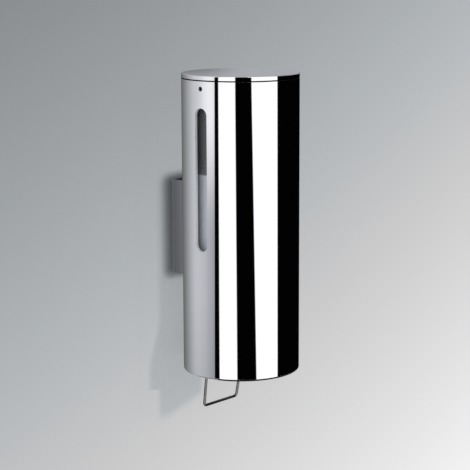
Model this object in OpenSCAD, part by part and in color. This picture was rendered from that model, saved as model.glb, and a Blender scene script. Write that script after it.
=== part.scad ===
// Wall mounted soap dispenser: a chromed tube with a lift-off lid, a clear reservoir behind a
// sight slot, and a piston pump under it that a wire bail works from below.
// Row frame: +X right, +Y into the wall, +Z up. The origin is the middle of the wall plate's
// two screw holes, on the wall. Lengths are millimetres.

/* [Shell] */
// Outside diameter of the tubular shell
body_d = 85; // [83:0.5:96]
// Sheet thickness of the shell
shell_t = 2; // [1.5:0.1:2.4]
// Height of the shell from its lower edge to the lid seam
shell_h = 213.5; // [206:0.5:260]
// Rounding of the shell's outer edge at the seam
shell_edge_r = 0.2; // [0.1:0.1:0.6]
// Rounding of the shell's outer edge at the foot
foot_edge_r = 0.9; // [0.3:0.1:1.2]

/* [Sight slot] */
// Width of the sight slot
slot_w = 10.6; // [6:0.2:16]
// Length of the sight slot, end to end
slot_len = 102; // [60:1:106]
// Distance from the lid seam down to the slot's upper end
slot_drop = 19.1; // [17:0.1:24]

/* [Lid] */
// Thickness of the lid's disc
lid_t = 3.5; // [3:0.1:6]
// Rounding of the lid's upper edge
lid_edge_r = 0.4; // [0.3:0.1:1.2]
// Height of the shadow gap between lid and shell
seam_h = 0.6; // [0.2:0.1:0.8]
// Depth of the shadow gap, measured inwards
seam_depth = 1; // [0.4:0.1:1.2]
// Depth of the spigot that enters the shell
spigot_h = 12; // [10:0.5:14]
// Wall thickness of the spigot
spigot_t = 3; // [2.6:0.1:4]
// Distance from the lid seam down to the lid's seal
seal_drop = 2.4; // [2:0.1:2.8]

/* [Lid lock] */
// Diameter of the lock screw in the spigot
lock_d = 3; // [2.5:0.1:3.5]
// Length of the lock screw
lock_len = 2.8; // [2.2:0.1:3]
// Distance from the lid seam down to the lock screw
lock_drop = 5.6; // [5.4:0.1:7.5]

/* [Reservoir] */
// Clear space between shell and reservoir
reservoir_gap = 3; // [2.8:0.1:4]
// Wall thickness of the reservoir
reservoir_t = 2; // [1.5:0.1:3]
// Distance from the spigot down to the reservoir's rim
rim_drop = 4; // [2:0.5:8]
// Rise of the reservoir's funnel floor
funnel_h = 8; // [5:0.5:10]
// Outside diameter of the reservoir's neck
neck_d = 22; // [20:0.5:24]
// Length of the reservoir's neck
neck_h = 11; // [9:0.5:14]
// Depth of soap above the reservoir's floor
soap_h = 65; // [20:0.5:90]

/* [Pump] */
// Bore of the pump chamber
chamber_d = 18; // [17:0.5:20]
// Wall thickness of the pump chamber
chamber_t = 3; // [2.5:0.1:4]
// Diameter of the inlet ball
ball_d = 6; // [5:0.5:6.5]
// Length of the inlet ball's spring at rest
ball_spring_len = 5.4; // [4.5:0.1:7]
// Diameter of the plunger's stem
stem_d = 8; // [7.5:0.5:9]
// Diameter of the stem's tenon, which carries collar and nozzle
tenon_d = 7; // [6:0.1:7.2]
// Bore of the stem, which the soap runs through
stem_bore = 4; // [3:0.5:4.5]
// How far the nozzle stands out below the shell's lower edge
nozzle_drop = 4; // [2:0.5:8]
// Stroke of the plunger
stroke = 8; // [6:0.5:9]
// Length of the return spring at rest
spring_len = 18; // [16:0.5:22]
// Wire diameter of the return spring
spring_wire = 1.2; // [1:0.1:1.3]

/* [Lever] */
// Distance from the shell's inner wall to the lever's pivot
pivot_inset = 13.5; // [11.5:0.5:15]
// Height of the plunger's collar above the shell's lower edge
collar_z = 9; // [8:0.5:12]
// Diameter of the lever's pin
pin_d = 4; // [3:0.5:5]
// Thickness of the fork's plate
fork_t = 4; // [3.6:0.2:4.4]

/* [Wire bail] */
// Diameter of the bail's wire
wire_d = 2; // [1.6:0.1:2.6]
// Spacing of the bail's legs at the crosspiece
bail_w = 36; // [30:1:40]
// Spacing of the bail's legs where they enter the fork
bail_top_w = 39; // [36:0.5:42]
// Distance of the crosspiece below the shell's lower edge
bail_drop = 30.3; // [20:0.1:45]
// Distance of the crosspiece behind the plunger's axis
bail_back = 21; // [18:0.5:26]
// Bend radius of the wire, at its centreline
bend_r = 2.6; // [2:0.1:5]

/* [Wall bracket] */
// Width of the bracket housing
bracket_w = 35; // [32:0.5:44]
// Height of the bracket housing
bracket_h = 70; // [66:1:90]
// Wall thickness of the bracket housing
bracket_t = 2; // [1.8:0.1:2.6]
// Distance from the wall to the back of the shell
wall_gap = 9; // [9:0.5:20]
// Height of the bracket's middle above the shell's lower edge
bracket_z = 102; // [92:1:120]
// Thickness of the wall plate
wall_plate_t = 3; // [2.5:0.1:3.5]
// Spacing of the two wall screw holes
wall_hole_gap = 40; // [30:1:44]
// Diameter of the wall screw holes
wall_hole_d = 5; // [4:0.1:5.5]
// Spacing of the two screws that hold the shell to the bracket
shell_screw_gap = 48; // [46:1:56]

/* [Hidden] */
$fn = 96;
eps = 0.5;                    // how far a cutter runs past what it cuts
seat = 0.05;                  // clearance between pieces that stay together
run = 0.1;                    // clearance, per side, between pieces that slide or turn
gap = 0.3;                    // clearance between pieces that don't touch
screw_clear = 0.4;            // how much wider a screw's through hole is than the screw
head_ratio = 1.85;            // a screw head's diameter over the screw's

// Shell and its place
shell_r = body_d / 2;
shell_ri = shell_r - shell_t;
axis_y = -(shell_r + wall_gap);
lock_hole_d = lock_d + screw_clear;
wall_cut = shell_t + 4;       // depth of the cutters that pierce the shell's curved wall

// Lid
spigot_r = shell_ri - gap;
spigot_ri = spigot_r - spigot_t;
spigot_z = shell_h - spigot_h;
lid_seal_d = 1.8;
lid_seal_r = shell_ri - run - lid_seal_d / 2;

// Plunger, from the shell's lower edge upwards
collar_t = 2.5;
collar_r = 10.5;
nozzle_r = tenon_d / 2 + 2;
valve_room = 4.5;             // height of the drip valve's chamber in the nozzle
valve_flange_t = 1;
stem_end = valve_room - nozzle_drop;
guide_z = collar_z + collar_t + stroke + 1.5;
guide_flange_t = 2;
guide_len = 5;
pump_z = guide_z + guide_flange_t;
piston_z = pump_z + guide_len + gap;
piston_t = 6;
piston_r = chamber_d / 2 - gap;
piston_seal_d = 2;

// Pump body
nut_t = 4;
nut_af = chamber_d + 2 * chamber_t + 8;
plate_z = pump_z + nut_t + 1;
plate_t = 3;
chamber_r = chamber_d / 2;
pump_r = chamber_r + chamber_t;
flange_t = 3;
foot_r = pump_r + 7;
shoulder_z = piston_z + piston_t + spring_len;
valve_r = ball_d / 2 + 2.5;
cage_t = 3;
ball_spring_wire = 0.5;
ball_spring_r = ball_d * 0.32;
ball_spring_z = shoulder_z + cage_t + seat;
ball_r = ball_d / 2;
ball_z = ball_spring_z + ball_spring_len
    + sqrt(pow(ball_r + ball_spring_wire / 2 + seat, 2) - pow(ball_spring_r, 2)) - ball_spring_wire / 2;
seat_t = 3;
seat_r = ball_d / 3;
seat_bevel = 1.2;
seat_z = ball_z + seat + 2 * ball_r * cos(45) - seat_r - seat_bevel;
socket_z = seat_z + seat_t;
socket_r = neck_d / 2 + 0.2;
socket_t = 3;
web_t = 2;                    // ribs between socket and saddle
reservoir_z = socket_z + neck_h + gap;
saddle_w = 11;
saddle_r = socket_r + saddle_w;

// Reservoir
reservoir_r = shell_ri - reservoir_gap;
rim_z = spigot_z - rim_drop;
neck_bore_r = neck_d / 2 - 3.5;
neck_seal_d = 2;
floor_t = 2.5;
bead_t = 1;
bead_h = 3;

// Base
ring_w = 5;
ring_t = 3;
base_screw_count = 3;
base_screw_r = shell_ri - ring_w / 2 - 0.7;
small_screw_d = 3;

// Lever
nose_r = fork_t / 2 + 1.5;
nose_gap = 0.25;              // clearance over and under the fork's noses
catch_t = 1.8;                // flange of the nozzle cap, under the noses
catch_r = 9.5;
catch_z = collar_z - 2 * (nose_r + nose_gap);
arm_len = shell_ri - pivot_inset;   // from the lever's pivot to the plunger's axis
pivot_y = -arm_len;
pivot_z = collar_z - nose_gap - nose_r + stroke / 2;
rest_tilt = asin(stroke / 2 / arm_len);
hub_w = 30;
hub_r = pin_d / 2 + 2.5;
fork_slot_w = 2 * nozzle_r + 3.4;
fork_slot_reach = collar_r + 1;   // the slot's ends before and behind the plunger's axis
rib_t = 1.4;
rib_h = 1.8;
fork_half_w = collar_r + 0.6 + rib_t;
bail_set = 4.5;               // how far the bail's root lies before its crosspiece
bail_root_y = bail_back - bail_set;
bail_lean = atan((bail_back - bail_root_y) / bail_drop);
bail_len = bail_drop / cos(bail_lean);
bail_splay = atan((bail_top_w - bail_w) / 2 / bail_len);
socket_depth = 7;
wire_short = 0.5;             // how far a leg ends before its socket's bottom
ear_t = 2;
ear_gap = 0.4;
ear_r = pin_d / 2 + 4;
strap_t = 2;
strap_len = 14;
strap_screw_x = 9;
clip_t = 0.6;
clip_w = 1.6;                 // how far a clip stands out from the pin
clip_groove = 0.5;
pin_len = hub_w + 2 * (ear_gap + ear_t) + 4;
bend_in = 1.5;                // inner bend radius of the strap
clip_z = hub_w / 2 + ear_gap + ear_t + 0.2;

// Wall bracket, from the wall outwards
bracket_edge_r = 0.8;
cavity_depth = wall_plate_t + 2;
cavity_w = bracket_w - 2 * bracket_t;
cavity_h = bracket_h - 2 * bracket_t;
plate_top = cavity_h / 2 - gap;
plate_low = -cavity_h / 2 + 3.5;
grub_d = 4;
grub_y = -(wall_plate_t - 0.5);
shell_screw_d = 4;
small_head_t = 2;
shell_head_t = 1.7;

// Places its children, drawn from the middle of the shell's lower edge, in the row frame.
module in_shell() {
    translate([0, axis_y, -bracket_z]) children();
}

// Flat outline with semicircular ends, standing along Y.
module stadium(width, length) {
    square([width, length - width], center = true);
    for (end = [-1, 1]) translate([0, end * (length - width) / 2]) circle(d = width);
}

// Rectangle with round corners.
module rounded_square(width, height, r) {
    square([width - 2 * r, height], center = true);
    square([width, height - 2 * r], center = true);
    for (x = [-1, 1], y = [-1, 1]) translate([x * (width / 2 - r), y * (height / 2 - r)]) circle(r);
}

// What rounding a profile's outer corner takes away; the corner points to +X and +Y.
module corner_waste(r) {
    difference() {
        translate([-r, -r]) square([r + eps, r + eps]);
        translate([-r, -r]) circle(r);
    }
}

// Ring of round section, lying flat.
module o_ring(centre_r, section_d) {
    rotate_extrude() translate([centre_r, 0]) circle(d = section_d);
}

// Flat ring or tube standing on z = 0.
module ring(r_out, r_in, height) {
    difference() {
        cylinder(r = r_out, h = height);
        translate([0, 0, -eps]) cylinder(r = r_in, h = height + 2 * eps);
    }
}

// Pan head screw along +Z, its head under z = 0.
module pan_screw(d, length, head_t) {
    head_d = d * head_ratio;
    cylinder(d = d - 2 * seat, h = length);
    difference() {
        translate([0, 0, -head_t]) cylinder(d1 = head_d * 0.75, d2 = head_d, h = head_t);
        translate([0, 0, -head_t - eps]) cylinder(d = d * 0.8, h = head_t / 2 + eps, $fn = 6);
    }
}

// Headless screw along +Z with a hexagon socket at z = 0 and a cone or flat point at the far end.
module grub_screw(d, length, point) {
    socket_af = d / 2;
    difference() {
        union() {
            cylinder(d = d, h = length - point);
            translate([0, 0, length - point]) cylinder(d1 = d, d2 = d - 2 * point + 0.01, h = point);
        }
        translate([0, 0, -eps])
            cylinder(d = socket_af / cos(30), h = length / 2 + eps, $fn = 6);
    }
}

// Points of one wire ring around a helix's centreline, at turn angle a.
function coil_ring(a, r, pitch, wire_r, sides) = [
    for (s = [0:sides - 1])
        let (b = 360 * s / sides)
        [(r + wire_r * cos(b)) * cos(a), (r + wire_r * cos(b)) * sin(a),
         pitch * a / 360 + wire_r * sin(b)]
];

// Compression spring between two flat seats, standing on z = 0.
module coil_spring(mean_r, wire, length, turns, steps = 20, sides = 8) {
    wire_r = wire / 2;
    pitch = (length - wire) / turns;
    rings = turns * steps;
    points = [
        for (i = [0:rings])
            each coil_ring(360 * i / steps, mean_r, pitch, wire_r, sides)
    ];
    walls = [
        for (i = [0:rings - 1], s = [0:sides - 1])
            let (t = (s + 1) % sides)
            [i * sides + s, (i + 1) * sides + s, (i + 1) * sides + t, i * sides + t]
    ];
    caps = [
        [for (s = [0:sides - 1]) s],
        [for (s = [sides - 1:-1:0]) rings * sides + s]
    ];
    translate([0, 0, wire_r]) polyhedron(points, concat(walls, caps), convexity = 8);
}

// ---------------------------------------------------------------- wall bracket

// Dovetail plate that is screwed to the wall; wider at its front than at the wall.
module wall_plate() {
    half_w = cavity_w / 2 - gap;
    color("silver") difference() {
        rotate([90, 0, 90]) linear_extrude(2 * half_w, center = true)
            polygon([
                [0, plate_low + wall_plate_t], [0, plate_top - wall_plate_t],
                [-wall_plate_t, plate_top], [-wall_plate_t, plate_low]
            ]);
        for (z = [-1, 1] * wall_hole_gap / 2) translate([0, eps, z]) rotate([90, 0, 0]) {
            cylinder(d = wall_hole_d, h = wall_plate_t + 2 * eps);
            translate([0, 0, eps + wall_plate_t - wall_hole_d * 0.44])
                cylinder(d1 = wall_hole_d, d2 = wall_hole_d * 1.88 + 2 * eps,
                         h = wall_hole_d * 0.44 + eps);
        }
    }
}

// Hollow block between wall and shell. A bevelled lip hooks over the wall plate's upper edge.
module bracket_housing() {
    cope_r = shell_r + seat;
    color("lightsteelblue") difference() {
        rotate([90, 0, 0]) linear_extrude(-axis_y / 2)
            rounded_square(bracket_w, bracket_h, bracket_edge_r);
        translate([0, axis_y, 0]) cylinder(r = cope_r, h = bracket_h + 2 * eps, center = true);
        rotate([90, 0, 90]) linear_extrude(cavity_w, center = true)
            polygon([
                [eps, -cavity_h / 2], [-cavity_depth, -cavity_h / 2],
                [-cavity_depth, cavity_h / 2], [-wall_plate_t, cavity_h / 2],
                [-wall_plate_t, plate_top], [0, plate_top - wall_plate_t],
                [eps, plate_top - wall_plate_t]
            ]);
        for (z = [-1, 1] * shell_screw_gap / 2) translate([0, 0, z]) rotate([90, 0, 0])
            cylinder(d = shell_screw_d, h = -axis_y);
        translate([0, grub_y, -bracket_h / 2 - eps])
            cylinder(d = grub_d + 2 * seat, h = bracket_t + 2 * eps);
    }
}

// Pointed screw that draws the housing onto the wall plate from below.
module bracket_grub_screw() {
    point = grub_d / 2;
    tip = plate_low + wall_plate_t + grub_y - seat;
    foot = -bracket_h / 2 + gap;
    color("dimgray") translate([0, grub_y, foot]) grub_screw(grub_d, tip - foot, point);
}

// Screws from inside the shell into the bracket housing.
module shell_screws() {
    reach = shell_t + wall_gap - cavity_depth;
    color("gray") for (z = [-1, 1] * shell_screw_gap / 2)
        translate([0, axis_y + shell_ri - gap, z]) rotate([-90, 0, 0])
            pan_screw(shell_screw_d, reach, shell_head_t);
}

// ---------------------------------------------------------------- shell and lid

// Polished tube with the sight slot and the lock hole on its left.
module shell() {
    slot_mid = shell_h - slot_drop - slot_len / 2;
    color("lightgray") in_shell() difference() {
        rotate_extrude() difference() {
            translate([shell_ri, 0]) square([shell_t, shell_h]);
            translate([shell_r, shell_h]) corner_waste(shell_edge_r);
            translate([shell_r, 0]) mirror([0, 1]) corner_waste(foot_edge_r);
        }
        translate([-shell_r - eps, 0, slot_mid]) rotate([90, 0, 90])
            linear_extrude(wall_cut) stadium(slot_w, slot_len);
        translate([-shell_r - eps, 0, shell_h - lock_drop]) rotate([0, 90, 0])
            cylinder(d = lock_hole_d, h = wall_cut);
        for (z = [-1, 1] * shell_screw_gap / 2)
            translate([0, shell_r + eps, bracket_z + z]) rotate([90, 0, 0])
                cylinder(d = shell_screw_d + screw_clear, h = wall_cut);
    }
}

// Lift-off lid: a disc on a spigot, with a shadow gap over the shell's edge.
module lid() {
    color("gainsboro") in_shell() difference() {
        rotate_extrude() difference() {
            union() {
                translate([0, shell_h]) square([shell_r, lid_t]);
                translate([spigot_ri, spigot_z]) square([spigot_t, spigot_h + eps]);
            }
            translate([shell_r, shell_h + lid_t]) corner_waste(lid_edge_r);
            translate([shell_r - seam_depth, shell_h - eps]) square([seam_depth + eps, seam_h + eps]);
            translate([lid_seal_r, shell_h - seal_drop - lid_seal_d / 2 - seat])
                translate([-lid_seal_d / 2 - seat, 0])
                    square([lid_seal_d + 2, lid_seal_d + 2 * seat]);
        }
        translate([-spigot_r - eps, 0, shell_h - lock_drop]) rotate([0, 90, 0])
            cylinder(d = lock_d + 2 * seat, h = spigot_t + 2);
    }
}

// Seal that steadies the spigot in the shell.
module lid_seal() {
    color("black") in_shell() translate([0, 0, shell_h - seal_drop])
        o_ring(lid_seal_r, lid_seal_d);
}

// Grub screw in the spigot; turned outwards, it enters the shell's hole and locks the lid.
module lid_lock_screw() {
    color("dimgray") in_shell() translate([-spigot_r + 0.2, 0, shell_h - lock_drop])
        rotate([0, 90, 0]) grub_screw(lock_d, lock_len, 0.3);
}

// ---------------------------------------------------------------- reservoir

// The hollow of the reservoir as one turned solid, drawn in by a clearance and filled to a height.
module reservoir_hollow(clear, top) {
    wall_z = reservoir_z + floor_t + funnel_h;
    inner_r = reservoir_r - reservoir_t - clear;
    translate([0, 0, reservoir_z - neck_h - eps + clear])
        cylinder(r = neck_bore_r - clear, h = neck_h + floor_t + 2 * eps);
    translate([0, 0, reservoir_z + floor_t + clear])
        cylinder(r1 = neck_bore_r - clear, r2 = inner_r, h = funnel_h);
    translate([0, 0, wall_z + clear]) cylinder(r = inner_r, h = top - wall_z - clear);
}

// Clear cup with a funnel floor and a neck that plugs into the pump.
module reservoir() {
    cone_r = saddle_r - 1;
    color("lightcyan", 0.4) in_shell() difference() {
        union() {
            translate([0, 0, reservoir_z - neck_h]) cylinder(d = neck_d, h = neck_h + eps);
            translate([0, 0, reservoir_z])
                cylinder(r1 = cone_r, r2 = reservoir_r, h = funnel_h);
            translate([0, 0, reservoir_z + funnel_h])
                cylinder(r = reservoir_r, h = rim_z - reservoir_z - funnel_h);
            translate([0, 0, rim_z - bead_h]) cylinder(r = reservoir_r + bead_t, h = bead_h);
        }
        reservoir_hollow(0, rim_z + eps);
        translate([0, 0, reservoir_z - neck_h / 2 - neck_seal_d / 2 - seat])
            ring(neck_d / 2 + eps, socket_r - neck_seal_d - seat, neck_seal_d + 2 * seat);
    }
}

// Seal around the reservoir's neck, inside the pump's socket.
module reservoir_seal() {
    color("black") in_shell() translate([0, 0, reservoir_z - neck_h / 2])
        o_ring(socket_r - seat - neck_seal_d / 2 + 0.02, neck_seal_d - 0.04);
}

// Soap standing in the reservoir.
module soap_fill() {
    color("honeydew") in_shell() intersection() {
        reservoir_hollow(0.15, rim_z);
        translate([0, 0, reservoir_z - neck_h + 0.2])
            cylinder(r = reservoir_r, h = neck_h + floor_t + soap_h);
    }
}

// ---------------------------------------------------------------- base and pump

// Evenly spaced places of the base plate's screws; the first is at the back.
module at_base_screws() {
    for (i = [0:base_screw_count - 1])
        rotate([0, 0, 90 + 360 * i / base_screw_count]) translate([base_screw_r, 0, 0]) children();
}

// Ring brazed into the shell, which carries the base plate.
module ledge_ring() {
    color("darkgray") in_shell() translate([0, 0, plate_z + plate_t]) difference() {
        ring(shell_ri - seat, shell_ri - ring_w, ring_t);
        at_base_screws() translate([0, 0, -eps]) cylinder(d = small_screw_d, h = ring_t + 2 * eps);
    }
}

// Disc that closes the shell and carries the pump and the lever.
module base_plate() {
    color("whitesmoke") in_shell() translate([0, 0, plate_z]) difference() {
        cylinder(r = shell_ri - gap, h = plate_t);
        translate([0, 0, -eps]) cylinder(r = pump_r + run, h = plate_t + 2 * eps);
        at_base_screws() translate([0, 0, -eps])
            cylinder(d = small_screw_d + screw_clear, h = plate_t + 2 * eps);
        for (x = [-1, 1] * strap_screw_x) translate([x, pivot_y, -eps])
            cylinder(d = small_screw_d, h = plate_t + 2 * eps);
    }
}

// Screws up through the base plate into the ledge ring.
module base_plate_screws() {
    color("gray") in_shell() at_base_screws() translate([0, 0, plate_z])
        pan_screw(small_screw_d, plate_t + ring_t + 1, small_head_t);
}

// Pump housing: chamber below, valve pocket above it, and the socket for the reservoir's neck.
module pump_body() {
    color("white") in_shell() difference() {
        union() {
            translate([0, 0, pump_z]) cylinder(r = pump_r, h = reservoir_z - pump_z - eps);
            translate([0, 0, plate_z + plate_t]) cylinder(r = foot_r, h = flange_t);
            translate([0, 0, socket_z - socket_t])
                cylinder(r = socket_r + socket_t, h = reservoir_z - socket_z + socket_t);
            translate([0, 0, reservoir_z - flange_t]) cylinder(r = saddle_r, h = flange_t);
            for (a = [0:90:270]) rotate([0, 0, a + 45])
                translate([socket_r + web_t, -web_t / 2, socket_z])
                    cube([saddle_r - socket_r - web_t - 1, web_t,
                          reservoir_z - socket_z - flange_t + eps]);
        }
        translate([0, 0, pump_z - eps]) cylinder(r = chamber_r, h = shoulder_z - pump_z + eps);
        translate([0, 0, shoulder_z - eps]) cylinder(r = valve_r, h = seat_z - shoulder_z + eps);
        translate([0, 0, seat_z - eps]) cylinder(r = seat_r, h = seat_t + 2 * eps);
        translate([0, 0, seat_z - eps])
            cylinder(r1 = seat_r + seat_bevel + eps, r2 = seat_r, h = seat_bevel + eps);
        translate([0, 0, socket_z]) cylinder(r = socket_r, h = reservoir_z - socket_z + eps);
    }
}

// Hexagon nut, chamfered below, that clamps the pump to the base plate.
module pump_nut() {
    chamfer = nut_t / 3;
    color("darkgray") in_shell() translate([0, 0, plate_z - nut_t]) difference() {
        intersection() {
            cylinder(d = nut_af / cos(30), h = nut_t, $fn = 6);
            union() {
                cylinder(r1 = nut_af / 2 - 0.3, r2 = nut_af / 2 - 0.3 + 2 * chamfer, h = chamfer);
                translate([0, 0, chamfer]) cylinder(d = 2 * nut_af, h = nut_t);
            }
        }
        translate([0, 0, -eps]) cylinder(r = pump_r + seat, h = nut_t + 2 * eps);
    }
}

// Flanged bush that closes the chamber and guides the plunger's stem.
module stem_guide() {
    color("ivory") in_shell() difference() {
        union() {
            translate([0, 0, guide_z]) cylinder(r = pump_r, h = guide_flange_t);
            translate([0, 0, pump_z - eps]) cylinder(r = chamber_r - seat, h = guide_len + eps);
        }
        translate([0, 0, guide_z - eps])
            cylinder(d = stem_d + 2 * run, h = guide_flange_t + guide_len + 2 * eps);
    }
}

// Ball that the valve spring holds up against its seat.
module inlet_ball() {
    color("silver") in_shell() translate([0, 0, ball_z]) sphere(r = ball_r);
}

// Light spring between the cage and the ball.
module inlet_spring() {
    color("silver") in_shell() translate([0, 0, ball_spring_z])
        coil_spring(ball_spring_r, ball_spring_wire, ball_spring_len, 4, 16, 6);
}

// Pierced disc that closes the valve pocket and carries the valve spring.
module inlet_cage() {
    hole_r = valve_r * 0.24;
    color("ivory") in_shell() translate([0, 0, shoulder_z]) difference() {
        cylinder(r = valve_r - seat, h = cage_t);
        for (a = [0:90:270]) rotate([0, 0, a]) translate([valve_r * 0.62, 0, -eps])
            cylinder(r = hole_r, h = cage_t + 2 * eps);
    }
}

// Piston on a hollow stem. Below the collar the stem steps down to a tenon.
module plunger() {
    groove_r = chamber_r - run - piston_seal_d - seat;
    step_z = collar_z + collar_t;
    color("white") in_shell() difference() {
        union() {
            translate([0, 0, stem_end]) cylinder(d = tenon_d, h = step_z - stem_end + eps);
            translate([0, 0, step_z]) cylinder(d = stem_d, h = piston_z - step_z + eps);
            translate([0, 0, piston_z]) cylinder(r = piston_r, h = piston_t);
        }
        translate([0, 0, stem_end - eps])
            cylinder(d = stem_bore, h = piston_z + piston_t - stem_end + 2 * eps);
        translate([0, 0, piston_z + piston_t / 2 - piston_seal_d / 2 - seat])
            ring(piston_r + eps, groove_r, piston_seal_d + 2 * seat);
    }
}

// Collar against the stem's step, which the fork lifts.
module lift_collar() {
    color("gainsboro") in_shell() translate([0, 0, collar_z])
        ring(collar_r, tenon_d / 2 + seat, collar_t);
}

// Seal in the piston's groove.
module piston_seal() {
    color("black") in_shell() translate([0, 0, piston_z + piston_t / 2])
        o_ring(chamber_r - run - piston_seal_d / 2, piston_seal_d);
}

// Spring over the piston, which returns plunger and lever.
module return_spring() {
    mean_r = (valve_r + chamber_r) / 2 - 0.2;
    color("silver") in_shell() translate([0, 0, piston_z + piston_t + seat])
        coil_spring(mean_r, spring_wire, spring_len - 2 * seat, 6);
}

// Nozzle on the tenon: it holds collar and drip valve, and its flange catches the fork from below.
module nozzle_cap() {
    lip = 0.8;
    color("lightgray") in_shell() difference() {
        union() {
            translate([0, 0, -nozzle_drop]) cylinder(r1 = nozzle_r - lip, r2 = nozzle_r, h = lip);
            translate([0, 0, lip - nozzle_drop])
                cylinder(r = nozzle_r, h = collar_z + nozzle_drop - lip);
            translate([0, 0, catch_z - catch_t]) cylinder(r = catch_r, h = catch_t);
        }
        translate([0, 0, stem_end - valve_flange_t])
            cylinder(d = tenon_d + 2 * seat, h = collar_z - stem_end + valve_flange_t + eps);
        translate([0, 0, -nozzle_drop - eps])
            cylinder(d = tenon_d * 0.7, h = valve_room - valve_flange_t + 2 * eps);
    }
}

// Duckbill that opens under pressure and stops drips.
module drip_valve() {
    bill_w = tenon_d * 0.5;
    bill_h = valve_room - valve_flange_t - 0.5;
    color("lightgray") in_shell() translate([0, 0, stem_end - valve_flange_t]) {
        cylinder(d = tenon_d - 2 * seat, h = valve_flange_t);
        rotate([90, 0, 90]) linear_extrude(bill_w, center = true)
            polygon([[-1.4, eps], [-1.4, 0], [-0.35, -bill_h], [0.35, -bill_h], [1.4, 0], [1.4, eps]]);
    }
}

// ---------------------------------------------------------------- lever

// Places its children, drawn with the pivot at the origin and the arm along +Y, at rest.
module in_lever() {
    in_shell() translate([0, pivot_y, pivot_z]) rotate([-rest_tilt, 0, 0]) children();
}

// Places its children, drawn in the bail's plane: X across, Y down along the legs from their root.
module in_bail() {
    in_shell() translate([0, bail_root_y, 0]) rotate([bail_lean, 0, 0]) rotate([-90, 0, 0]) children();
}

// Round bar between two points of the bail's plane.
module bar(from, to, d) {
    span = to - from;
    translate([from[0], from[1], 0]) rotate([0, 0, atan2(span[1], span[0])]) rotate([0, 90, 0])
        cylinder(d = d, h = norm(span));
}

// Moulded fork: it turns on the pin, lifts the collar with two noses and carries the bail.
module lever_fork() {
    nose_w = fork_half_w - rib_t / 2 - fork_slot_w / 2;
    bail_u = (bail_root_y - pivot_y) / cos(rest_tilt);
    run_out = 5 * wire_d;
    boss_r = wire_d / 2 + 2;
    boss_x = bail_top_w / 2;
    tail = bail_u + boss_r * 0.6;
    slot_back = arm_len + fork_slot_reach;
    flare_u = arm_len + nose_r;
    color("dimgray") difference() {
        union() {
            in_lever() {
                rotate([0, 90, 0]) cylinder(r = hub_r, h = hub_w, center = true);
                translate([0, 0, -fork_t / 2]) linear_extrude(fork_t) difference() {
                    polygon([
                        [-hub_w / 2, 0], [-hub_w / 2, hub_r], [-fork_half_w, 2 * hub_r],
                        [-fork_half_w, flare_u], [-boss_x - boss_r / 2, bail_u], [-boss_x, tail],
                        [boss_x, tail], [boss_x + boss_r / 2, bail_u], [fork_half_w, flare_u],
                        [fork_half_w, 2 * hub_r], [hub_w / 2, hub_r], [hub_w / 2, 0]
                    ]);
                    translate([-fork_slot_w / 2, arm_len - fork_slot_reach])
                        square([fork_slot_w, 2 * fork_slot_reach]);
                }
                for (side = [-1, 1]) {
                    translate([side * (fork_slot_w + nose_w) / 2, arm_len, 0])
                        rotate([0, 90, 0]) cylinder(r = nose_r, h = nose_w, center = true);
                    translate([side * (fork_half_w - rib_t / 2 + 0.2), 0, 0]) rotate([90, 0, 90])
                        linear_extrude(rib_t, center = true) fork_rib(slot_back);
                }
            }
            in_bail() for (side = [-1, 1])
                bar([side * leg_x(-socket_depth - 1), -socket_depth - 1],
                    [side * leg_x(-0.5), -0.5], 2 * boss_r);
        }
        in_lever() rotate([0, 90, 0])
            cylinder(d = pin_d + 2 * seat, h = hub_w + 2 * eps, center = true);
        in_bail() for (side = [-1, 1])
            bar([side * leg_x(-socket_depth), -socket_depth], [side * leg_x(run_out), run_out],
                wire_d + 2 * seat);
    }
}

// Side view of the rib along each arm: deep at the hub, thin where it runs out.
module fork_rib(length) {
    polygon([
        [0, -fork_t / 2 - rib_h], [arm_len, -fork_t / 2 - rib_h], [length, -fork_t / 2],
        [length, fork_t / 2], [arm_len, fork_t / 2 + rib_h], [0, fork_t / 2 + rib_h]
    ]);
}

// Half the spacing of the bail's legs at a distance below their root.
function leg_x(down) = bail_top_w / 2 - down * tan(bail_splay);

// One piece of round wire: two legs and a crosspiece with rounded bends.
module wire_bail() {
    turn = 90 - bail_splay;                       // what the wire turns through at a corner
    back_off = bend_r * tan(turn / 2);
    leg_start = wire_short - socket_depth;
    leg_end = bail_len - back_off * cos(bail_splay);
    bend_x = leg_x(bail_len) - back_off;
    color("lightgray") in_bail() for (side = [0, 1]) mirror([side, 0, 0]) {
        bar([leg_x(leg_start), leg_start], [leg_x(leg_end), leg_end], wire_d);
        translate([bend_x, bail_len - bend_r, 0]) rotate([0, 0, 90 - turn])
            rotate_extrude(angle = turn) translate([bend_r, 0]) circle(d = wire_d);
        bar([0, bail_len], [bend_x, bail_len], wire_d);
    }
}

// Channel section of the strap: two walls under a web, bent round an inner radius.
module channel(half_w, top, bottom, corner_r) {
    difference() {
        translate([-half_w, bottom]) square([2 * half_w, top - bottom]);
        for (side = [0, 1]) mirror([side, 0]) translate([half_w, top]) corner_waste(corner_r);
    }
}

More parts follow.
